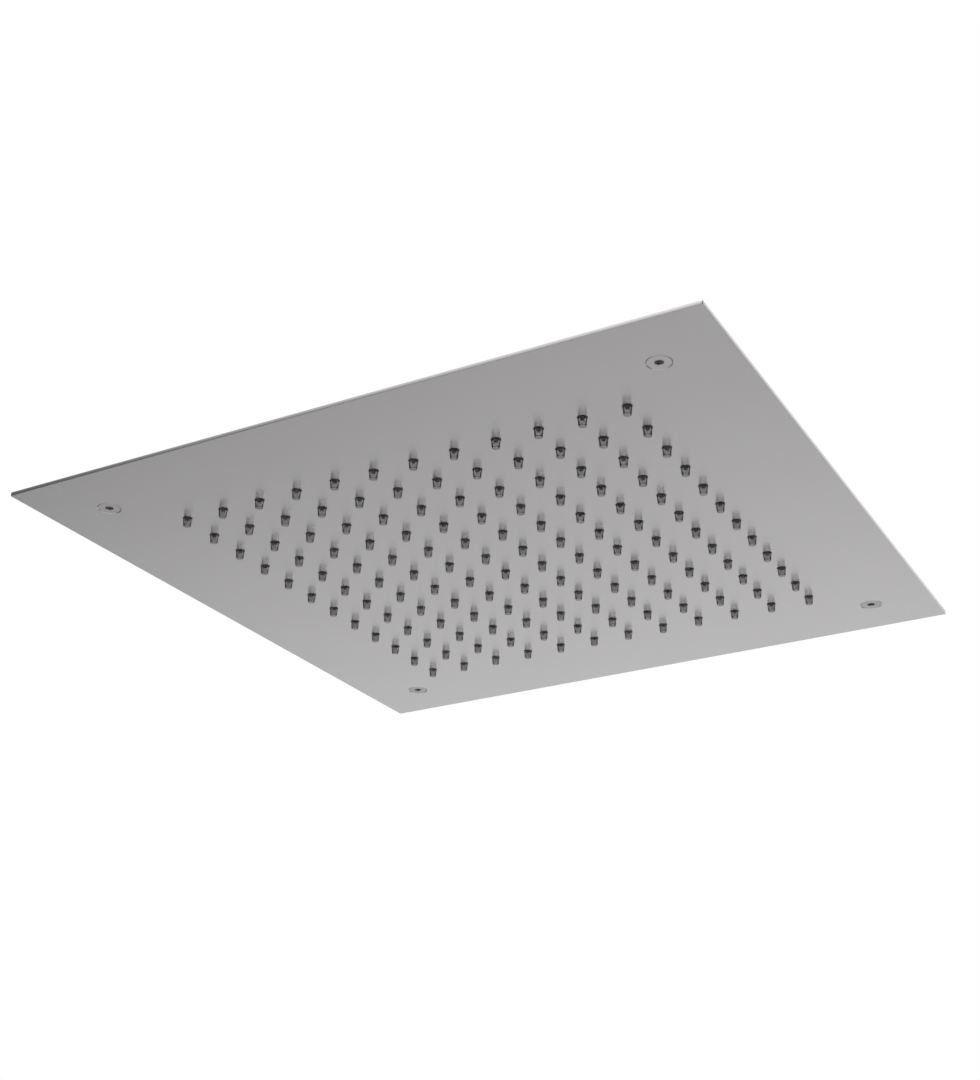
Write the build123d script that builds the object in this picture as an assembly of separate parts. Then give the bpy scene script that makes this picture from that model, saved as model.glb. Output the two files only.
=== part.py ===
from build123d import *
import os
from math import atan2, degrees

# Rain shower head that sits flush with a ceiling, in millimetres.
# The origin is the centre of the face plate's back, which lies on the ceiling.
# +Z points up into the ceiling, and X and Y run along the plate's edges.

# Nozzle field
NOZZLES_PER_ROW = 12
NOZZLE_PITCH = 23.0
NOZZLE_HOLE_RADIUS = 2.6
NOZZLE_FIT = 0.1
NOZZLE_TIP_RADIUS = 2.0
NOZZLE_REACH = 4.6

# Silicone strips that carry the nozzles
STRIP_WIDTH = 10.0
STRIP_THICKNESS = 2.0

# Face plate
PLATE_THICKNESS = 2.0
PLATE_BORDER = 40.0

# Water chamber, folded from sheet
CHAMBER_MARGIN = 2.5
CHAMBER_HEIGHT = 20.0
PAN_SHEET = 1.2
PAN_BEND_RADIUS = 2.0
FLANGE_WIDTH = 16.0
FLANGE_CORNER_CUT = 18.0
GASKET_THICKNESS = 2.0
GASKET_SETBACK = 1.0

# Studs and nuts that clamp the chamber
STUD_RADIUS = 2.0
STUD_SPACING = 150.0
STUD_END = 2.0
STUD_HOLE_FIT = 0.25
NUT_WIDTH = 7.0
NUT_HEIGHT = 3.2
NUT_FIT = 0.05

# Fixing screws, M6 with a countersunk head and a hexagon socket
SCREW_INSET = 35.0
SCREW_RADIUS = 3.0
SCREW_LENGTH = 16.0
SCREW_HEAD_RADIUS = 5.8
SCREW_HEAD_RIM = 0.3
SCREW_HEAD_RECESS = 0.1
SCREW_HOLE_FIT = 0.3
SCREW_SOCKET_WIDTH = 4.0
SCREW_SOCKET_DEPTH = 2.5
SEAT_GAP = 0.05

# Inlet with a G1/2 female thread, welded on the chamber's roof
INLET_WIDTH = 27.0
INLET_HEIGHT = 20.0
INLET_THREAD_RADIUS = 9.3
INLET_WATERWAY_RADIUS = 7.5

# Baffle under the inlet, folded from sheet
BAFFLE_SIDE = 64.0
BAFFLE_SHEET = 1.0
BAFFLE_DROP = 10.0
BAFFLE_LEG_WIDTH = 12.0
BAFFLE_FOOT_LENGTH = 8.0

# Flat sides that stand for a circle on small round features that repeat, and on the hole under the inlet
ROUND_SIDES = 8
WATERWAY_SIDES = 16
HALF_TURN = 180.0

# Sizes that follow from the nozzle field outwards
nozzle_field = (NOZZLES_PER_ROW - 1) * NOZZLE_PITCH
strip_length = nozzle_field + STRIP_WIDTH
chamber_inside = strip_length + 2 * CHAMBER_MARGIN
pan_side = chamber_inside + 2 * PAN_SHEET
flange_side = chamber_inside + 2 * FLANGE_WIDTH
plate_side = flange_side + 2 * PLATE_BORDER
screw_spacing = plate_side - 2 * SCREW_INSET
stud_line = (pan_side + flange_side) / 2

# Heights above the face plate's back
plate_front = -PLATE_THICKNESS
flange_top = GASKET_THICKNESS + PAN_SHEET
nut_top = flange_top + NUT_HEIGHT
pan_top = CHAMBER_HEIGHT + PAN_SHEET
baffle_top = CHAMBER_HEIGHT - BAFFLE_DROP
baffle_bottom = baffle_top - BAFFLE_SHEET


def nozzle_places():
    """A place for each nozzle."""
    return GridLocations(NOZZLE_PITCH, NOZZLE_PITCH, NOZZLES_PER_ROW, NOZZLES_PER_ROW)


def screw_places():
    """A place for each fixing screw, near the plate's corners."""
    return GridLocations(screw_spacing, screw_spacing, 2, 2)


def stud_places():
    """A place for each stud, two along each side of the chamber's flange."""
    along_x = GridLocations(STUD_SPACING, stud_line, 2, 2)
    along_y = GridLocations(stud_line, STUD_SPACING, 2, 2)
    return Locations(*along_x, *along_y)


def few_sided_round(radius, sides=ROUND_SIDES, mode=Mode.ADD):
    """Circle drawn with few flat sides that touch the radius, four of them facing along X and Y."""
    return RegularPolygon(radius, sides, major_radius=False, rotation=HALF_TURN / sides, mode=mode)


def hexagon(width):
    """Hexagon with this width across its flats."""
    return RegularPolygon(width / 2, 6, major_radius=False)


def square_with_cut_corners(side, cut):
    """Square whose corners are cut off at 45 degrees."""
    square = Rectangle(side, side)
    chamfer(square.vertices(), cut)


def copies(piece, places):
    """The piece at each place, as separate solids in one group."""
    return Compound([piece.moved(place) for place in places])


def face_plate():
    """Flat square plate with a hole for each nozzle and a countersink for each screw, open on the front."""
    sink_radius = SCREW_HEAD_RADIUS + SCREW_HEAD_RECESS + SCREW_HEAD_RIM + SEAT_GAP
    hole_radius = SCREW_RADIUS + SCREW_HOLE_FIT
    with BuildPart() as plate:
        with BuildSketch(Plane.XY.offset(plate_front)):
            Rectangle(plate_side, plate_side)
            with nozzle_places():
                few_sided_round(NOZZLE_HOLE_RADIUS, mode=Mode.SUBTRACT)
            with screw_places():
                Circle(hole_radius, mode=Mode.SUBTRACT)
        extrude(amount=PLATE_THICKNESS)
        with Locations((0, 0, plate_front)):
            with screw_places():
                Cone(
                    sink_radius,
                    hole_radius,
                    sink_radius - hole_radius,
                    align=(Align.CENTER, Align.CENTER, Align.MIN),
                    mode=Mode.SUBTRACT,
                )
    return plate.part


def nozzle_strip(row):
    """Silicone strip on the plate's back with one row of tapered nozzles that reach through the plate."""
    root_radius = NOZZLE_HOLE_RADIUS - NOZZLE_FIT
    length = PLATE_THICKNESS + NOZZLE_REACH
    taper = degrees(atan2(root_radius - NOZZLE_TIP_RADIUS, length))
    with BuildPart() as strip:
        with BuildSketch():
            Rectangle(strip_length, STRIP_WIDTH)
        extrude(amount=STRIP_THICKNESS)
        with BuildSketch():
            with GridLocations(NOZZLE_PITCH, 0, NOZZLES_PER_ROW, 1):
                few_sided_round(root_radius)
        extrude(amount=-length)
        quarter = length / 4
        sides = strip.faces().filter_by_position(Axis.Z, quarter - length, -quarter)
        draft(sides, Plane.XY, -taper)
    offset = (row - (NOZZLES_PER_ROW - 1) / 2) * NOZZLE_PITCH
    return strip.part.moved(Location((0, offset, 0)))


def chamber_gasket():
    """Flat gasket under the flat part of the pan's flange, with a hole for each stud."""
    inside = pan_side + 2 * PAN_BEND_RADIUS
    outside = flange_side - 2 * GASKET_SETBACK
    with BuildPart() as gasket:
        with BuildSketch():
            square_with_cut_corners(outside, FLANGE_CORNER_CUT)
            Rectangle(inside, inside, mode=Mode.SUBTRACT)
            with stud_places():
                few_sided_round(STUD_RADIUS + STUD_HOLE_FIT, mode=Mode.SUBTRACT)
        extrude(amount=GASKET_THICKNESS)
    return gasket.part


def folded_form(side, bottom, brim, top, brim_bend, roof_bend):
    """Square block that rises from a wide brim, rounded where sheet is bent at the brim and at the roof."""
    with BuildPart() as form:
        for plane, mode in ((Plane.XZ, Mode.ADD), (Plane.YZ, Mode.INTERSECT)):
            with BuildSketch(plane) as profile:
                with Locations((0, bottom)):
                    Rectangle(flange_side, brim - bottom, align=(Align.CENTER, Align.MIN))
                    Rectangle(side, top - bottom, align=(Align.CENTER, Align.MIN))
                fillet(profile.vertices().group_by(Axis.Y)[-1], roof_bend)
                fillet(profile.vertices().group_by(Axis.Y)[1].sort_by(Axis.X)[1:3], brim_bend)
            extrude(amount=flange_side / 2, both=True, mode=mode)
    return form.part


def chamber_pan():
    """Folded pan that closes the chamber: flange on the gasket, four walls, and a roof with a hole."""
    inner_bend = PAN_BEND_RADIUS
    outer_bend = PAN_BEND_RADIUS + PAN_SHEET
    with BuildPart() as pan:
        add(folded_form(pan_side, GASKET_THICKNESS, flange_top, pan_top, inner_bend, outer_bend))
        add(
            folded_form(chamber_inside, 0, GASKET_THICKNESS, CHAMBER_HEIGHT, outer_bend, inner_bend),
            mode=Mode.SUBTRACT,
        )
        with BuildSketch():
            square_with_cut_corners(flange_side, FLANGE_CORNER_CUT)
            with stud_places():
                few_sided_round(STUD_RADIUS + STUD_HOLE_FIT, mode=Mode.SUBTRACT)
            few_sided_round(INLET_WATERWAY_RADIUS, WATERWAY_SIDES, mode=Mode.SUBTRACT)
        extrude(amount=pan_top, mode=Mode.INTERSECT)
    return pan.part


def weld_studs():
    """Studs on the plate's back that reach through the gasket and the pan's flange."""
    with BuildPart() as stud:
        with BuildSketch():
            few_sided_round(STUD_RADIUS)
        extrude(amount=nut_top + STUD_END)
    return copies(stud.part, stud_places())


def stud_nuts():
    """Hexagon nuts that press the pan's flange on the gasket."""
    with BuildPart() as nut:
        with BuildSketch(Plane.XY.offset(flange_top)):
            hexagon(NUT_WIDTH)
            few_sided_round(STUD_RADIUS + NUT_FIT, mode=Mode.SUBTRACT)
        extrude(amount=NUT_HEIGHT)
    return copies(nut.part, stud_places())


def fixing_screws():
    """Screws whose cone lies in the plate's countersink, with a short rim that leaves a narrow groove."""
    head_front = plate_front + SCREW_HEAD_RECESS
    rim_end = head_front + SCREW_HEAD_RIM
    shank_start = rim_end + SCREW_HEAD_RADIUS - SCREW_RADIUS
    shank_end = head_front + SCREW_LENGTH
    with BuildPart() as screw:
        with BuildSketch(Plane.XZ):
            with BuildLine():
                Polyline(
                    (0, head_front),
                    (SCREW_HEAD_RADIUS, head_front),
                    (SCREW_HEAD_RADIUS, rim_end),
                    (SCREW_RADIUS, shank_start),
                    (SCREW_RADIUS, shank_end),
                    (0, shank_end),
                    close=True,
                )
            make_face()
        revolve(axis=Axis.Z)
        with BuildSketch(Plane.XY.offset(head_front)):
            hexagon(SCREW_SOCKET_WIDTH)
        extrude(amount=SCREW_SOCKET_DEPTH, mode=Mode.SUBTRACT)
    return copies(screw.part, screw_places())


def inlet_socket():
    """Hexagon socket on the chamber's roof, bored for the supply pipe's thread."""
    with BuildPart() as socket:
        with BuildSketch(Plane.XY.offset(pan_top)):
            hexagon(INLET_WIDTH)
            Circle(INLET_THREAD_RADIUS, mode=Mode.SUBTRACT)
        extrude(amount=INLET_HEIGHT)
    return socket.part


def baffle_leg():
    """Leg that rises from one side of the baffle to a foot on the chamber's roof."""
    outside = BAFFLE_SIDE / 2
    inside = outside - BAFFLE_SHEET
    foot_end = outside + BAFFLE_FOOT_LENGTH
    foot_bottom = CHAMBER_HEIGHT - BAFFLE_SHEET
    with BuildPart() as leg:
        with BuildSketch(Plane.XZ):
            with BuildLine():
                Polyline(
                    (inside, baffle_bottom),
                    (outside, baffle_bottom),
                    (outside, foot_bottom),
                    (foot_end, foot_bottom),
                    (foot_end, CHAMBER_HEIGHT),
                    (inside, CHAMBER_HEIGHT),
                    close=True,
                )
            make_face()
        extrude(amount=BAFFLE_LEG_WIDTH / 2, both=True)
    return leg.part


def inlet_baffle():
    """Folded sheet: a square under the inlet, with a leg on each side."""
    with BuildPart() as baffle:
        with BuildSketch(Plane.XY.offset(baffle_bottom)):
            Rectangle(BAFFLE_SIDE, BAFFLE_SIDE)
        extrude(amount=BAFFLE_SHEET)
        with PolarLocations(0, 4):
            add(baffle_leg())
    return baffle.part


pieces = {
    "face_plate": face_plate(),
    "chamber_gasket": chamber_gasket(),
    "chamber_pan": chamber_pan(),
    "weld_studs": weld_studs(),
    "stud_nuts": stud_nuts(),
    "fixing_screws": fixing_screws(),
    "inlet_socket": inlet_socket(),
    "inlet_baffle": inlet_baffle(),
}
for row in range(NOZZLES_PER_ROW):
    pieces[f"nozzle_strip_{row + 1:02d}"] = nozzle_strip(row)

os.makedirs("parts", exist_ok=True)
for name, piece in pieces.items():
    export_step(piece, f"parts/{name}.step")
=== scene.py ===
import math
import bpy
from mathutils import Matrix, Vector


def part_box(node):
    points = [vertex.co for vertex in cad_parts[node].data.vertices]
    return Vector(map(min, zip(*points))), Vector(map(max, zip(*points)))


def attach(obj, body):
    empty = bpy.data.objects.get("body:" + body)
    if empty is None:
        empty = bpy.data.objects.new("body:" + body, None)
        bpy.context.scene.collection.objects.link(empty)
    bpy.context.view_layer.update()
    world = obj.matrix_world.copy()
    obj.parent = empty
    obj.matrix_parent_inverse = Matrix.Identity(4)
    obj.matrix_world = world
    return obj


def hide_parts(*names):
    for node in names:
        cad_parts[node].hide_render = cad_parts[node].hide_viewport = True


bl_info = {
    "name": "Rain shower head",
    "version": (1, 0, 0),
    "blender": (4, 5, 0),
    "location": "View3D > Sidebar > Shower head",
    "description": "Dresses the packed rain shower head and sets it on a plain stage",
    "category": "Object",
}

import bmesh
import bpy
from bpy.props import FloatProperty, FloatVectorProperty, PointerProperty
from mathutils import Matrix, Vector

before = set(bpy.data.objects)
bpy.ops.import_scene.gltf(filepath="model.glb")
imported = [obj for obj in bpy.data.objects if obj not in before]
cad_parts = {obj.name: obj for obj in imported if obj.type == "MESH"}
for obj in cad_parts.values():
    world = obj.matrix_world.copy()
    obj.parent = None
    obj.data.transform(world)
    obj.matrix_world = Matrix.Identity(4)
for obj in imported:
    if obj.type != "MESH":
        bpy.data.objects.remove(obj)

# Units and angles
MM = 0.001
FULL_TURN = 2 * math.pi
SIXTH_TURN = FULL_TURN / 6
CHAMFER_SLOPE = math.tan(math.radians(30))

# Faces that meet at more than the first angle have a sharp edge, and within the second they are one face
SHARP_ANGLE = math.radians(30)
FLAT_ANGLE = math.radians(0.5)

# Points round a circle, chosen so that hexagons get a point on each corner
HOLE_POINTS = 40
NOZZLE_POINTS = 40
STUD_POINTS = 40
SCREW_POINTS = 48
HEXAGON_POINTS = 72
WELD_POINTS = 240
FLOOR_POINTS = 96

# Points along a rounded corner, and rows of points for each turn of a thread
ROUND_STEPS = 4
THREAD_ROWS = 8

# Depth of metric and pipe threads, and the flat at their crest and root, as shares of the pitch
METRIC_DEPTH = 0.61
PIPE_DEPTH = 0.64
THREAD_FLAT = 0.2

# Radius of the flat end of a hexagon, as a share of half its width
HEXAGON_CROWN = 0.97

# Room between a nut and its stud
NUT_ROOM = 0.05 * MM

# Vertices closer than this are one vertex
SAME_PLACE = 0.001 * MM

# Axes of the photograph's camera in the part's frame
CAMERA_RIGHT = Vector((0.8842, 0.4670, -0.0016))
CAMERA_UP = Vector((0.1993, -0.3742, 0.9057))

# Soft panels of the studio: direction of the middle, and angles in degrees where the fading starts and ends
FAR_WALL = ((-0.23, 0.86, 0.47), 29, 77.5)
FRONT_PANEL = ((-0.01, -0.39, 0.92), 2.5, 55.5)

# Middle of the far wall, where metal and glass show the same white background as the camera sees
BACKDROP = (FAR_WALL[0], FAR_WALL[1], 45)

WHITE = (1, 1, 1, 1)
BODY = "root"


def linear_colour(hex_code):
    """Linear RGBA colour for an sRGB hex code, by the formula of the sRGB standard."""
    values = []
    for start in (0, 2, 4):
        share = int(hex_code[start:start + 2], 16) / 255
        values.append(share / 12.92 if share <= 0.04045 else ((share + 0.055) / 1.055) ** 2.4)
    return (*values, 1.0)


def length(name, description, millimetres):
    """Property for a length, with its default in millimetres."""
    return FloatProperty(
        name=name, description=description, default=millimetres * MM, unit="LENGTH", precision=5
    )


def position(name, description, millimetres):
    """Property for a place, with its default in millimetres."""
    return FloatVectorProperty(
        name=name,
        description=description,
        default=[value * MM for value in millimetres],
        subtype="TRANSLATION",
        unit="LENGTH",
    )


def number(name, description, value):
    """Property for a plain number."""
    return FloatProperty(name=name, description=description, default=value)


def colour(name, description, hex_code):
    """Property for a colour, with its default as an sRGB hex code."""
    return FloatVectorProperty(
        name=name,
        description=description,
        default=linear_colour(hex_code),
        size=4,
        subtype="COLOR",
        min=0,
        max=1,
    )


class ShowerSizes(bpy.types.PropertyGroup):
    """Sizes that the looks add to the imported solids."""

    hole_radius: length("Nozzle hole radius", "Radius of the holes that the nozzles come through", 2.6)
    nozzle_root_radius: length("Nozzle root radius", "Radius of a nozzle where it leaves its strip", 2.5)
    nozzle_tip_radius: length("Nozzle tip radius", "Radius of a nozzle's end before it is rounded", 2.0)
    nozzle_tip_rounding: length("Nozzle tip rounding", "Rounding round a nozzle's end", 0.35)
    bore_root_radius: length("Bore root radius", "Radius of a nozzle's bore at its strip", 1.3)
    bore_tip_radius: length("Bore tip radius", "Radius of a nozzle's bore at its end", 1.5)
    bore_tip_rounding: length("Bore tip rounding", "Rounding of a nozzle's mouth", 0.12)
    strip_rounding: length("Strip rounding", "Rounding of the silicone strips' edges", 0.4)
    plate_corner: length("Plate corner", "Radius of the plate's corners", 0.5)
    plate_edge: length("Plate edge", "Rounding of the plate's long edges", 0.15)
    hole_edge: length("Hole edge", "Rounding where a hole meets the plate's faces", 0.1)
    sink_radius: length("Countersink radius", "Radius of the countersink on the plate's front", 6.25)
    screw_rim: length("Screw rim", "Height of the short straight rim of a screw's head", 0.3)
    screw_radius: length("Screw radius", "Outer radius of the fixing screws' thread", 3.0)
    screw_pitch: length("Screw pitch", "Pitch of the fixing screws' thread", 1.0)
    socket_width: length("Socket width", "Width across the flats of a screw's hexagon socket", 4.0)
    socket_depth: length("Socket depth", "Depth of a screw's hexagon socket", 2.5)
    stud_pitch: length("Stud pitch", "Pitch of the studs' thread", 0.7)
    inlet_radius: length("Inlet radius", "Inner radius of the inlet's thread", 9.3)
    inlet_pitch: length("Inlet pitch", "Pitch of the inlet's thread", 1.814)
    weld_size: length("Weld size", "Height of the weld round the inlet", 2.4)
    sheet_edge: length("Sheet edge", "Rounding of the folded sheet's edges", 0.25)


class ShowerColours(bpy.types.PropertyGroup):
    """Colours of the materials."""

    satin_steel: colour("Satin steel", "Ground stainless steel of the face plate", "CDCBCC")
    sheet_steel: colour("Sheet steel", "Cold rolled stainless steel of the chamber", "C4C3C1")
    turned_steel: colour("Turned steel", "Machined stainless steel of the inlet", "CDCCC9")
    screw_steel: colour("Screw steel", "Pickled stainless steel of the fasteners", "CAC8C9")
    weld_steel: colour("Weld steel", "Steel of the weld, a little brown from heat", "9C938A")
    silicone: colour("Silicone", "Clear silicone of the nozzles", "ECECEA")
    rubber: colour("Rubber", "Black rubber of the gasket", "1D1D1E")
    floor: colour("Floor", "Pale painted floor", "C6C6C5")


class StageSettings(bpy.types.PropertyGroup):
    """Camera and light."""

    camera_place: position("Camera place", "Where the photograph was taken from", (401.07, -753.11, -389.76))
    camera_lens: number("Lens", "Focal length in millimetres on a 36 mm sensor", 56.54)
    camera_shift: FloatVectorProperty(
        name="Shift",
        description="Shift of the picture, as a share of its height",
        default=(-0.02824, 0.00046),
        size=2,
    )
    floor_drop: length("Floor drop", "Distance of the floor under the plate", 1300)
    floor_radius: length("Floor radius", "Radius of the round floor", 1450)
    surround: number("Surround", "Brightness of the dim part of the studio", 0.12)
    far_wall: number("Far wall", "Brightness of the lit wall beyond the head", 0.96)
    front_panel: number("Front panel", "Brightness of the panel high on the camera's side", 1.55)
    lamp_power: FloatProperty(
        name="Lamp power", description="Power of the soft lamp above", default=40, unit="POWER"
    )
    lamp_size: length("Lamp size", "Diameter of the soft lamp", 1500)
    lamp_place: position("Lamp place", "Where the soft lamp hangs", (800, -600, 2200))


def sizes():
    """Sizes set on the scene."""
    return bpy.context.scene.shower_sizes


def colours():
    """Colours set on the scene."""
    return bpy.context.scene.shower_colours


def add_node(tree, kind, settings, **inputs):
    """Adds one shader node with its settings.

    Inputs are values or sockets. Their names have _ for a space, or are _ and the input's number.
    """
    node = tree.nodes.new(kind)
    for name, value in settings.items():
        setattr(node, name, value)
    for name, value in inputs.items():
        socket = node.inputs[int(name[1:])] if name[1:].isdigit() else node.inputs[name.replace("_", " ")]
        if isinstance(value, bpy.types.NodeSocket):
            tree.links.new(value, socket)
        else:
            socket.default_value = value
    return node


def new_material(name):
    """Empty material and its node tree."""
    material = bpy.data.materials.new(name)
    material.use_nodes = True
    material.node_tree.nodes.clear()
    return material, material.node_tree


def finish_material(tree, **inputs):
    """Adds the material's shader with these inputs and sends it to the output."""
    shader = add_node(tree, "ShaderNodeBsdfPrincipled", {}, **inputs)
    add_node(tree, "ShaderNodeOutputMaterial", {}, Surface=shader.outputs[0])


def maths(tree, operation, first, second):
    """Result of one operation on two values or sockets."""
    return add_node(tree, "ShaderNodeMath", {"operation": operation}, _0=first, _1=second).outputs[0]


def grain(tree, size, stretch=(1, 1, 1), detail=2.0):
    """Noise between 0 and 1 with grains of this size, longer where stretch is larger."""
    point = add_node(tree, "ShaderNodeTexCoord", {}).outputs["Object"]
    shrink = [1 / (size * share) for share in stretch]
    scaled = add_node(tree, "ShaderNodeMapping", {}, Vector=point, Scale=shrink)
    noise = add_node(tree, "ShaderNodeTexNoise", {}, Vector=scaled.outputs[0], Scale=1.0, Detail=detail)
    return noise.outputs["Fac"]


def spread(tree, value, low, high):
    """The value, from 0 to 1, brought between low and high."""
    return add_node(tree, "ShaderNodeMapRange", {}, Value=value, To_Min=low, To_Max=high).outputs["Result"]


def tinted(tree, value, base, share):
    """The base colour, darker by this share where the value is low."""
    dark = [part * (1 - share) for part in base[:3]] + [1.0]
    mix = add_node(tree, "ShaderNodeMix", {"data_type": "RGBA"}, Factor=value, _6=dark, _7=tuple(base))
    return mix.outputs[2]


def ridges(tree, value, strength):
    """Surface direction over ridges up to 0.05 mm high where the value is high."""
    bump = add_node(tree, "ShaderNodeBump", {}, Height=value, Strength=strength, Distance=0.05 * MM)
    return bump.outputs[0]


def satin_ground_stainless():
    """Stainless plate ground with a fine belt: a soft, blurred sheen, its grain too fine to read as lines."""
    material, tree = new_material("satin_ground_stainless")
    # The real grain is about 0.1 mm wide, and is drawn coarser because it would fall under a pixel.
    fine = grain(tree, size=0.6 * MM, stretch=(6, 1, 1))
    broad = grain(tree, size=60 * MM)
    finish_material(
        tree,
        Base_Color=tinted(tree, fine, colours().satin_steel, share=0.04),
        Metallic=1.0,
        Roughness=spread(tree, broad, low=0.22, high=0.27),
        Normal=ridges(tree, fine, strength=0.04),
    )
    return material


def cold_rolled_stainless():
    """Folded stainless sheet as it leaves the mill: a dull, cloudy sheen with faint rolling streaks."""
    material, tree = new_material("cold_rolled_stainless")
    streaks = grain(tree, size=1.5 * MM, stretch=(30, 1, 1), detail=3.0)
    clouds = grain(tree, size=25 * MM)
    finish_material(
        tree,
        Base_Color=tinted(tree, streaks, colours().sheet_steel, share=0.10),
        Metallic=1.0,
        Roughness=spread(tree, clouds, low=0.34, high=0.40),
    )
    return material


def turned_stainless():
    """Stainless bar turned and drilled on a lathe: bright, with fine rings that catch the light."""
    material, tree = new_material("turned_stainless")
    rings = grain(tree, size=0.4 * MM, stretch=(60, 60, 1))
    finish_material(
        tree,
        Base_Color=tinted(tree, rings, colours().turned_steel, share=0.08),
        Metallic=1.0,
        Roughness=spread(tree, rings, low=0.22, high=0.32),
        Normal=ridges(tree, rings, strength=0.15),
    )
    return material


def pickled_stainless():
    """Cold headed and pickled stainless fasteners: greyer than the plate and slightly mottled."""
    material, tree = new_material("pickled_stainless")
    mottle = grain(tree, size=0.8 * MM, detail=3.0)
    finish_material(
        tree,
        Base_Color=tinted(tree, mottle, colours().screw_steel, share=0.10),
        Metallic=1.0,
        Roughness=spread(tree, mottle, low=0.38, high=0.50),
    )
    return material


def brushed_weld():
    """Weld bead brushed clean: rippled steel with a faint brown tint left by the heat."""
    material, tree = new_material("brushed_weld")
    tint = grain(tree, size=3 * MM)
    finish_material(
        tree,
        Base_Color=tinted(tree, tint, colours().weld_steel, share=0.35),
        Metallic=1.0,
        Roughness=spread(tree, tint, low=0.30, high=0.45),
    )
    return material


def clear_moulded_silicone():
    """Clear silicone moulded in a fine steel tool: bends the light like water, with a faint milky haze."""
    material, tree = new_material("clear_moulded_silicone")
    skin = grain(tree, size=0.5 * MM)
    finish_material(
        tree,
        Base_Color=tinted(tree, skin, colours().silicone, share=0.03),
        Roughness=spread(tree, skin, low=0.04, high=0.10),
        IOR=1.41,
        Transmission_Weight=0.91,
    )
    return material


def moulded_rubber():
    """Black rubber sheet with a dull, slightly dusty face."""
    material, tree = new_material("moulded_rubber")
    dust = grain(tree, size=4 * MM, detail=4.0)
    finish_material(
        tree,
        Base_Color=tinted(tree, dust, colours().rubber, share=0.4),
        Roughness=spread(tree, dust, low=0.55, high=0.75),
        IOR=1.52,
    )
    return material


def painted_floor():
    """Matt painted studio floor, evenly pale with a faint unevenness from the roller."""
    material, tree = new_material("painted_floor")
    roller = grain(tree, size=400 * MM)
    finish_material(
        tree,
        Base_Color=tinted(tree, roller, colours().floor, share=0.03),
        Roughness=0.8,
    )
    return material


def solids_of(node):
    """Box of each separate solid in a CAD node, as pairs of lowest and highest corner."""
    mesh = bmesh.new()
    mesh.from_mesh(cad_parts[node].data)
    bmesh.ops.remove_doubles(mesh, verts=mesh.verts, dist=SAME_PLACE)
    left = set(mesh.verts)
    boxes = []
    while left:
        waiting = [left.pop()]
        low = waiting[0].co.copy()
        high = waiting[0].co.copy()
        while waiting:
            vert = waiting.pop()
            low = Vector(map(min, low, vert.co))
            high = Vector(map(max, high, vert.co))
            near = {edge.other_vert(vert) for edge in vert.link_edges} & left
            left -= near
            waiting.extend(near)
        boxes.append((low, high))
    mesh.free()
    return boxes


def strip_names():
    """Names of the silicone strips' CAD nodes, in order."""
    return sorted(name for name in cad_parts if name.startswith("nozzle_strip"))


def nozzle_places(name):
    """Centre of each nozzle on one strip, at the plate's back.

    The field is square, with as many nozzles in a row as there are rows.
    """
    low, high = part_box(name)
    middle = (low + high) / 2
    count = len(strip_names())
    field = (high.x - low.x) - (high.y - low.y)
    pitch = field / (count - 1)
    return [Vector((middle.x - field / 2 + pitch * index, middle.y, 0)) for index in range(count)]


def ring(mesh, centre, count, radius, height):
    """Ring of vertices round a centre. Radius and height are numbers, or functions of the angle."""
    verts = []
    for index in range(count):
        angle = FULL_TURN * index / count
        reach = radius(angle) if callable(radius) else radius
        rise = height(angle) if callable(height) else height
        place = (centre.x + reach * math.cos(angle), centre.y + reach * math.sin(angle), rise)
        verts.append(mesh.verts.new(place))
    return verts


def bridge(mesh, rings, closed=False):
    """Faces between each ring and the next, and from the last to the first if closed."""
    pairs = list(zip(rings, rings[1:]))
    if closed:
        pairs.append((rings[-1], rings[0]))
    for first, second in pairs:
        for index in range(len(first)):
            after = (index + 1) % len(first)
            mesh.faces.new((first[index], first[after], second[after], second[index]))


def fill(mesh, loops):
    """Flat face bounded by loops of vertices, the inner ones as holes."""
    edges = []
    for loop in loops:
        for first, second in zip(loop, loop[1:] + loop[:1]):
            edges.append(mesh.edges.get((first, second)) or mesh.edges.new((first, second)))
    bmesh.ops.triangle_fill(mesh, use_beauty=True, edges=edges)
    for edge in edges:
        edge.smooth = False


def softened(corners):
    """Profile of (radius, height) points from corners of (radius, height, rounding)."""
    points = []
    for index, (radius, height, rounding) in enumerate(corners):
        corner = Vector((radius, height))
        if rounding == 0:
            points.append(corner)
            continue
        before = Vector(corners[index - 1][:2])
        after = Vector(corners[index + 1][:2])
        start = corner + (before - corner).normalized() * rounding
        end = corner + (after - corner).normalized() * rounding
        for step in range(ROUND_STEPS + 1):
            share = step / ROUND_STEPS
            points.append(start * (1 - share) ** 2 + corner * 2 * share * (1 - share) + end * share ** 2)
    return points


def lathe(mesh, centre, count, profile):
    """Rings turned from a profile of (radius, height) points, with faces between them."""
    rings = [ring(mesh, centre, count, point[0], point[1]) for point in profile]
    bridge(mesh, rings)
    return rings


def rounded_rectangle(mesh, centre, half_x, half_y, corner, height):
    """Loop of vertices round a rectangle with rounded corners."""
    verts = []
    for quarter, (side_x, side_y) in enumerate(((1, 1), (-1, 1), (-1, -1), (1, -1))):
        hub_x = centre.x + side_x * (half_x - corner)
        hub_y = centre.y + side_y * (half_y - corner)
        for step in range(ROUND_STEPS + 1):
            angle = FULL_TURN / 4 * (quarter + step / ROUND_STEPS)
            place = (hub_x + corner * math.cos(angle), hub_y + corner * math.sin(angle), height)
            verts.append(mesh.verts.new(place))
    return verts


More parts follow.
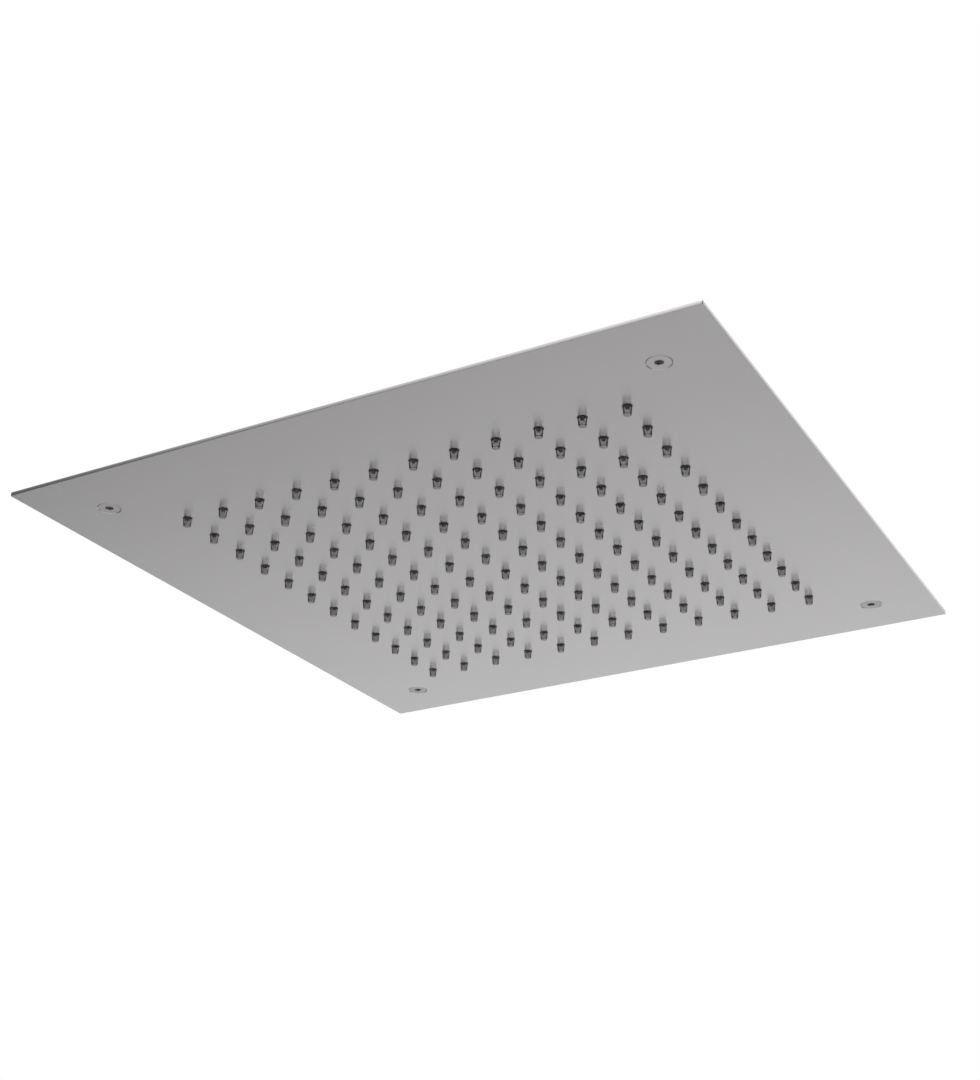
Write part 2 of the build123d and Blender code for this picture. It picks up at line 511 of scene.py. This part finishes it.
def slab_walls(mesh, low, high, corner, edge):
    """Outer walls of a flat piece whose long edges are rounded, as (bottom loop, top loop)."""
    centre = (low + high) / 2
    half = (high - low) / 2
    profile = softened(((edge, low.z, 0), (0, low.z, edge), (0, high.z, edge), (edge, high.z, 0)))
    loops = []
    for inset, height in profile[1:-1]:
        radius = corner + edge - inset
        loops.append(rounded_rectangle(mesh, centre, half.x - inset, half.y - inset, radius, height))
    bridge(mesh, loops)
    return loops[0], loops[-1]


def hexagon_radius(width):
    """Radius of a hexagon's outline as a function of the angle, with a corner on X."""
    return lambda angle: width / 2 / math.cos(angle % SIXTH_TURN - SIXTH_TURN / 2)


def thread_radius(crest, depth, pitch, height):
    """Radius of a right-hand thread's outline as a function of the angle, at one height."""

    def radius(angle):
        phase = (height / pitch - angle / FULL_TURN) % 1
        fall = (abs(2 * phase - 1) - THREAD_FLAT) / (1 - 2 * THREAD_FLAT)
        return crest - depth * min(1, max(0, fall))

    return radius


def thread_rings(mesh, centre, count, crest, depth, pitch, start, end):
    """Rings of a thread from one height to another."""
    rows = round(abs(end - start) / pitch * THREAD_ROWS)
    rings = []
    for row in range(rows + 1):
        height = start + (end - start) * row / rows
        rings.append(ring(mesh, centre, count, thread_radius(crest, depth, pitch, height), height))
    return rings


def hexagon_body(mesh, centre, width, bottom, top, bore, both_ends):
    """Hexagon with chamfered corners round a bore.

    The bore is a list of rings, or of (radius, height) points, going up.
    """
    outline = hexagon_radius(width)
    crown = HEXAGON_CROWN * width / 2

    def cut(angle):
        return max(0, outline(angle) - crown) * CHAMFER_SLOPE

    rings = []
    for item in bore:
        rings.append(ring(mesh, centre, HEXAGON_POINTS, *item) if isinstance(item, tuple) else item)
    rings.append(ring(mesh, centre, HEXAGON_POINTS, crown, top))
    rings.append(ring(mesh, centre, HEXAGON_POINTS, outline, lambda angle: top - cut(angle)))
    if both_ends:
        rings.append(ring(mesh, centre, HEXAGON_POINTS, outline, lambda angle: bottom + cut(angle)))
        rings.append(ring(mesh, centre, HEXAGON_POINTS, crown, bottom))
    else:
        rings.append(ring(mesh, centre, HEXAGON_POINTS, outline, bottom))
    bridge(mesh, rings, closed=True)


def add_piece(name, mesh, material, nodes):
    """Turns the mesh into a piece that rides on the part and stands for the CAD nodes."""
    bmesh.ops.recalc_face_normals(mesh, faces=mesh.faces)
    for face in mesh.faces:
        face.smooth = True
    for edge in mesh.edges:
        edge.smooth = edge.smooth and edge.calc_face_angle(0) < SHARP_ANGLE
    data = bpy.data.meshes.new(name)
    mesh.to_mesh(data)
    mesh.free()
    data.materials.append(material)
    piece = bpy.data.objects.new(name, data)
    bpy.context.scene.collection.objects.link(piece)
    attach(piece, BODY)
    if nodes:
        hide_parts(*nodes)
    return piece


def eased_copy(node, edge):
    """Mesh of a CAD node with its sharp edges eased."""
    mesh = bmesh.new()
    mesh.from_mesh(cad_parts[node].data)
    bmesh.ops.remove_doubles(mesh, verts=mesh.verts, dist=SAME_PLACE)
    bmesh.ops.dissolve_limit(mesh, angle_limit=FLAT_ANGLE, verts=mesh.verts, edges=mesh.edges)
    sharp = [item for item in mesh.edges if item.is_manifold and item.calc_face_angle() > SHARP_ANGLE]
    eased = bmesh.ops.bevel(
        mesh, geom=sharp, offset=edge, segments=2, profile=0.5, affect="EDGES", clamp_overlap=True
    )
    rounded = set(eased["faces"])
    for item in mesh.edges:
        sides = [face in rounded for face in item.link_faces]
        item.smooth = all(sides) or not any(sides)
    return mesh


class SHOWER_OT_face_plate(bpy.types.Operator):
    """Flat steel plate with round holes, countersinks and eased edges"""

    bl_idname = "shower.face_plate"
    bl_label = "Face plate"

    def execute(self, context):
        size = sizes()
        low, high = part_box("face_plate")
        mesh = bmesh.new()
        bottom, top = slab_walls(mesh, low, high, size.plate_corner, size.plate_edge)
        bottoms = [bottom]
        tops = [top]
        edge = size.hole_edge
        nozzle_hole = softened(
            (
                (size.hole_radius + edge, low.z, 0),
                (size.hole_radius, low.z, edge),
                (size.hole_radius, high.z, edge),
                (size.hole_radius + edge, high.z, 0),
            )
        )[1:-1]
        # The countersinks are cones of 90 degrees, deeper than the plate is thick.
        screw_hole = [(size.sink_radius, low.z), (size.sink_radius - (high.z - low.z), high.z)]
        for name in strip_names():
            for place in nozzle_places(name):
                rings = lathe(mesh, place, HOLE_POINTS, nozzle_hole)
                bottoms.append(rings[0])
                tops.append(rings[-1])
        for box_low, box_high in solids_of("fixing_screws"):
            rings = lathe(mesh, (box_low + box_high) / 2, SCREW_POINTS, screw_hole)
            bottoms.append(rings[0])
            tops.append(rings[-1])
        fill(mesh, bottoms)
        fill(mesh, tops)
        add_piece("satin_face_plate", mesh, satin_ground_stainless(), ["face_plate"])
        return {"FINISHED"}


class SHOWER_OT_nozzle_strips(bpy.types.Operator):
    """Clear silicone strips with round, bored nozzles"""

    bl_idname = "shower.nozzle_strips"
    bl_label = "Nozzle strips"

    def execute(self, context):
        material = clear_moulded_silicone()
        for name in strip_names():
            add_piece("clear_" + name, self.strip(name), material, [name])
        return {"FINISHED"}

    def strip(self, name):
        """Mesh of one strip with its row of nozzles."""
        size = sizes()
        low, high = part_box(name)
        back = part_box("face_plate")[1].z
        mesh = bmesh.new()
        bar_low = Vector((low.x, low.y, back))
        bottom, top = slab_walls(mesh, bar_low, high, size.strip_rounding, size.strip_rounding)
        profile = softened(
            (
                (size.nozzle_root_radius, back, 0),
                (size.nozzle_tip_radius, low.z, size.nozzle_tip_rounding),
                (size.bore_tip_radius, low.z, size.bore_tip_rounding),
                (size.bore_root_radius, back, 0),
                (size.bore_root_radius, high.z, 0),
            )
        )
        bottoms = [bottom]
        tops = [top]
        for place in nozzle_places(name):
            rings = lathe(mesh, place, NOZZLE_POINTS, profile)
            bottoms.append(rings[0])
            tops.append(rings[-1])
        fill(mesh, bottoms)
        fill(mesh, tops)
        return mesh


class SHOWER_OT_fixing_screws(bpy.types.Operator):
    """Countersunk screws with a hexagon socket and a rolled thread"""

    bl_idname = "shower.fixing_screws"
    bl_label = "Fixing screws"

    def execute(self, context):
        mesh = bmesh.new()
        for low, high in solids_of("fixing_screws"):
            self.screw(mesh, low, high)
        add_piece("threaded_fixing_screws", mesh, pickled_stainless(), ["fixing_screws"])
        return {"FINISHED"}

    def screw(self, mesh, low, high):
        """One screw inside this box, with its head at the bottom."""
        size = sizes()
        centre = (low + high) / 2
        head_radius = (high.x - low.x) / 2
        eased = 0.08 * MM
        mouth = 0.15 * MM
        socket_end = low.z + size.socket_depth
        rim_end = low.z + size.screw_rim
        shank_start = rim_end + head_radius - size.screw_radius
        depth = METRIC_DEPTH * size.screw_pitch
        thread_start = shank_start + size.screw_pitch
        shank_end = thread_start - size.screw_pitch / THREAD_ROWS
        thread_end = high.z - depth
        hexagon = hexagon_radius(size.socket_width)
        open_hexagon = hexagon_radius(size.socket_width + 2 * mouth)
        rings = [
            ring(mesh, centre, SCREW_POINTS, hexagon, socket_end),
            ring(mesh, centre, SCREW_POINTS, hexagon, low.z + mouth),
            ring(mesh, centre, SCREW_POINTS, open_hexagon, low.z),
            ring(mesh, centre, SCREW_POINTS, head_radius - eased, low.z),
            ring(mesh, centre, SCREW_POINTS, head_radius, low.z + eased),
            ring(mesh, centre, SCREW_POINTS, head_radius, rim_end),
            ring(mesh, centre, SCREW_POINTS, size.screw_radius, shank_start),
            ring(mesh, centre, SCREW_POINTS, size.screw_radius, shank_end),
        ]
        rings += thread_rings(
            mesh, centre, SCREW_POINTS, size.screw_radius, depth, size.screw_pitch, thread_start, thread_end
        )
        rings.append(ring(mesh, centre, SCREW_POINTS, size.screw_radius - depth, high.z))
        bridge(mesh, rings)
        mesh.faces.new(rings[0])
        mesh.faces.new(rings[-1])


class SHOWER_OT_chamber(bpy.types.Operator):
    """Folded pan, baffle and gasket with eased edges"""

    bl_idname = "shower.chamber"
    bl_label = "Water chamber"

    def execute(self, context):
        edge = sizes().sheet_edge
        sheet = cold_rolled_stainless()
        pieces = (
            ("folded_pan", "chamber_pan", sheet, "sheet_steel"),
            ("folded_baffle", "inlet_baffle", sheet, "sheet_steel"),
            ("rubber_gasket", "chamber_gasket", moulded_rubber(), "gasket_rubber"),
        )
        for name, node, material, slot in pieces:
            add_piece(name, eased_copy(node, edge), material, [node])
        return {"FINISHED"}


class SHOWER_OT_clamps(bpy.types.Operator):
    """Threaded studs and chamfered nuts that clamp the chamber"""

    bl_idname = "shower.clamps"
    bl_label = "Studs and nuts"

    def execute(self, context):
        steel = pickled_stainless()
        studs = bmesh.new()
        for low, high in solids_of("weld_studs"):
            self.stud(studs, low, high)
        add_piece("threaded_studs", studs, steel, ["weld_studs"])
        stud_low, stud_high = solids_of("weld_studs")[0]
        nuts = bmesh.new()
        for low, high in solids_of("stud_nuts"):
            self.nut(nuts, low, high, (stud_high.x - stud_low.x) / 2)
        add_piece("chamfered_nuts", nuts, steel, ["stud_nuts"])
        return {"FINISHED"}

    def stud(self, mesh, low, high):
        """One threaded stud inside this box."""
        pitch = sizes().stud_pitch
        centre = (low + high) / 2
        radius = (high.x - low.x) / 2
        depth = METRIC_DEPTH * pitch
        rings = thread_rings(mesh, centre, STUD_POINTS, radius, depth, pitch, low.z, high.z - depth)
        rings.append(ring(mesh, centre, STUD_POINTS, radius - depth, high.z))
        bridge(mesh, rings)
        mesh.faces.new(rings[0])
        mesh.faces.new(rings[-1])

    def nut(self, mesh, low, high, stud_radius):
        """One nut inside this box, chamfered at both ends."""
        centre = (low + high) / 2
        width = min(high.x - low.x, high.y - low.y)
        bore = stud_radius + NUT_ROOM
        hexagon_body(mesh, centre, width, low.z, high.z, [(bore, low.z), (bore, high.z)], both_ends=True)


class SHOWER_OT_inlet(bpy.types.Operator):
    """Hexagon inlet socket with its inner thread and the weld round its foot"""

    bl_idname = "shower.inlet"
    bl_label = "Inlet"

    def execute(self, context):
        low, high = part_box("inlet_socket")
        centre = (low + high) / 2
        width = min(high.x - low.x, high.y - low.y)
        socket = self.socket(centre, width, low.z, high.z)
        weld = self.weld(centre, width, low.z)
        add_piece("threaded_inlet", socket, turned_stainless(), ["inlet_socket"])
        add_piece("inlet_weld", weld, brushed_weld(), [])
        return {"FINISHED"}

    def socket(self, centre, width, bottom, top):
        """Hexagon with a threaded bore that opens in a chamfer."""
        size = sizes()
        pitch = size.inlet_pitch
        depth = PIPE_DEPTH * pitch
        wall = size.inlet_radius + depth
        mesh = bmesh.new()
        bore = [(size.inlet_radius, bottom)]
        bore += thread_rings(
            mesh, centre, HEXAGON_POINTS, wall, depth, pitch, bottom + pitch / THREAD_ROWS, top - depth
        )
        bore.append((wall, top))
        hexagon_body(mesh, centre, width, bottom, top, bore, both_ends=False)
        return mesh

    def weld(self, centre, width, roof):
        """Rippled bead in the corner between the hexagon and the pan's roof."""
        size = sizes().weld_size
        outline = hexagon_radius(width)
        ripples = 60
        ripple_share = 0.08
        mesh = bmesh.new()

        def bead(angle):
            return size * (1 + ripple_share * math.sin(ripples * angle))

        rings = []
        for step in range(ROUND_STEPS + 1):
            slope = FULL_TURN / 4 * step / ROUND_STEPS

            def reach(angle):
                return outline(angle) + bead(angle) * math.cos(slope)

            def rise(angle):
                return roof + bead(angle) * math.sin(slope)

            rings.append(ring(mesh, centre, WELD_POINTS, reach, rise))
        rings.append(ring(mesh, centre, WELD_POINTS, outline, roof))
        bridge(mesh, rings, closed=True)
        return mesh


class SHOWER_OT_stage(bpy.types.Operator):
    """Camera, floor and soft light"""

    bl_idname = "shower.stage"
    bl_label = "Stage"

    def execute(self, context):
        scene = context.scene
        settings = scene.shower_stage
        self.camera(scene, settings)
        self.floor(scene, settings)
        self.world(scene, settings)
        self.lamp(scene, settings)
        scene.view_settings.view_transform = "Standard"
        return {"FINISHED"}

    def camera(self, scene, settings):
        """Camera of the photograph, from below the plate."""
        data = bpy.data.cameras.new("photo_camera")
        data.lens = settings.camera_lens
        data.shift_x, data.shift_y = settings.camera_shift
        camera = bpy.data.objects.new("photo_camera", data)
        back = CAMERA_RIGHT.cross(CAMERA_UP).normalized()
        right = CAMERA_UP.cross(back).normalized()
        up = back.cross(right)
        turn = Matrix((right, up, back)).transposed().to_4x4()
        camera.matrix_world = Matrix.Translation(settings.camera_place) @ turn
        scene.collection.objects.link(camera)
        scene.camera = camera

    def floor(self, scene, settings):
        """Plain floor well below the camera."""
        mesh = bmesh.new()
        mesh.faces.new(ring(mesh, Vector(), FLOOR_POINTS, settings.floor_radius, -settings.floor_drop))
        data = bpy.data.meshes.new("floor")
        mesh.to_mesh(data)
        mesh.free()
        data.materials.append(painted_floor())
        floor = bpy.data.objects.new("floor", data)
        scene.collection.objects.link(floor)

    def world(self, scene, settings):
        """White for the camera, and for metal and glass that face the backdrop.

        All other rays meet a dim room with a lit far wall and a soft panel high on the camera's side.
        """
        world = bpy.data.worlds.new("studio")
        world.use_nodes = True
        tree = world.node_tree
        tree.nodes.clear()
        far_wall = self.panel(tree, FAR_WALL, settings.far_wall)
        backdrop = self.panel(tree, BACKDROP, 1.0)
        front_panel = self.panel(tree, FRONT_PANEL, settings.front_panel)
        panels = maths(tree, "ADD", far_wall, front_panel)
        brightness = maths(tree, "ADD", panels, settings.surround)
        walls = add_node(tree, "ShaderNodeBackground", {}, Color=WHITE, Strength=brightness)
        white = add_node(tree, "ShaderNodeBackground", {}, Color=WHITE, Strength=1.0)
        path = add_node(tree, "ShaderNodeLightPath", {})
        bent = maths(tree, "MAXIMUM", path.outputs["Is Glossy Ray"], path.outputs["Is Transmission Ray"])
        shown = maths(tree, "MULTIPLY", bent, backdrop)
        seen = maths(tree, "MAXIMUM", shown, path.outputs["Is Camera Ray"])
        mix = add_node(tree, "ShaderNodeMixShader", {}, _0=seen, _1=walls.outputs[0], _2=white.outputs[0])
        add_node(tree, "ShaderNodeOutputWorld", {}, Surface=mix.outputs[0])
        scene.world = world

    def panel(self, tree, shape, brightness):
        """Brightness of a round soft panel, which fades between its inner and outer angle from its middle."""
        middle, inner, outer = shape
        direction = add_node(tree, "ShaderNodeTexCoord", {}).outputs["Generated"]
        nearness = add_node(
            tree,
            "ShaderNodeVectorMath",
            {"operation": "DOT_PRODUCT"},
            _0=direction,
            _1=tuple(Vector(middle).normalized()),
        )
        fade = add_node(
            tree,
            "ShaderNodeMapRange",
            {"interpolation_type": "SMOOTHSTEP"},
            Value=nearness.outputs["Value"],
            From_Min=math.cos(math.radians(outer)),
            From_Max=math.cos(math.radians(inner)),
            To_Max=brightness,
        )
        return fade.outputs["Result"]

    def lamp(self, scene, settings):
        """Soft lamp above, which gives the floor its shadow."""
        data = bpy.data.lights.new("soft_lamp", "AREA")
        data.shape = "DISK"
        data.size = settings.lamp_size
        data.energy = settings.lamp_power
        lamp = bpy.data.objects.new("soft_lamp", data)
        lamp.location = settings.lamp_place
        lamp.rotation_euler = (-lamp.location).to_track_quat("-Z", "Y").to_euler()
        scene.collection.objects.link(lamp)


class VIEW3D_PT_shower(bpy.types.Panel):
    """Sizes, colours and steps of the shower head"""

    bl_label = "Rain shower head"
    bl_space_type = "VIEW_3D"
    bl_region_type = "UI"
    bl_category = "Shower head"

    def draw(self, context):
        scene = context.scene
        for group in (scene.shower_sizes, scene.shower_colours, scene.shower_stage):
            box = self.layout.box()
            for name in group.__annotations__:
                box.prop(group, name)
        for step in STEPS:
            self.layout.operator(step.bl_idname)


GROUPS = {"shower_sizes": ShowerSizes, "shower_colours": ShowerColours, "shower_stage": StageSettings}
STEPS = (
    SHOWER_OT_face_plate,
    SHOWER_OT_nozzle_strips,
    SHOWER_OT_fixing_screws,
    SHOWER_OT_chamber,
    SHOWER_OT_clamps,
    SHOWER_OT_inlet,
    SHOWER_OT_stage,
)
CLASSES = (*GROUPS.values(), *STEPS, VIEW3D_PT_shower)


def register():
    """Registers the classes and puts the settings on the scene."""
    for item in CLASSES:
        bpy.utils.register_class(item)
    for name, group in GROUPS.items():
        setattr(bpy.types.Scene, name, PointerProperty(type=group))


def unregister():
    """Takes the settings off the scene and unregisters the classes."""
    for name in GROUPS:
        delattr(bpy.types.Scene, name)
    for item in reversed(CLASSES):
        bpy.utils.unregister_class(item)


def main():
    """Runs each step."""
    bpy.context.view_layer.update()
    register()
    bpy.ops.shower.face_plate()
    bpy.ops.shower.nozzle_strips()
    bpy.ops.shower.fixing_screws()
    bpy.ops.shower.chamber()
    bpy.ops.shower.clamps()
    bpy.ops.shower.inlet()
    bpy.ops.shower.stage()


if __name__ == "__main__":
    main()
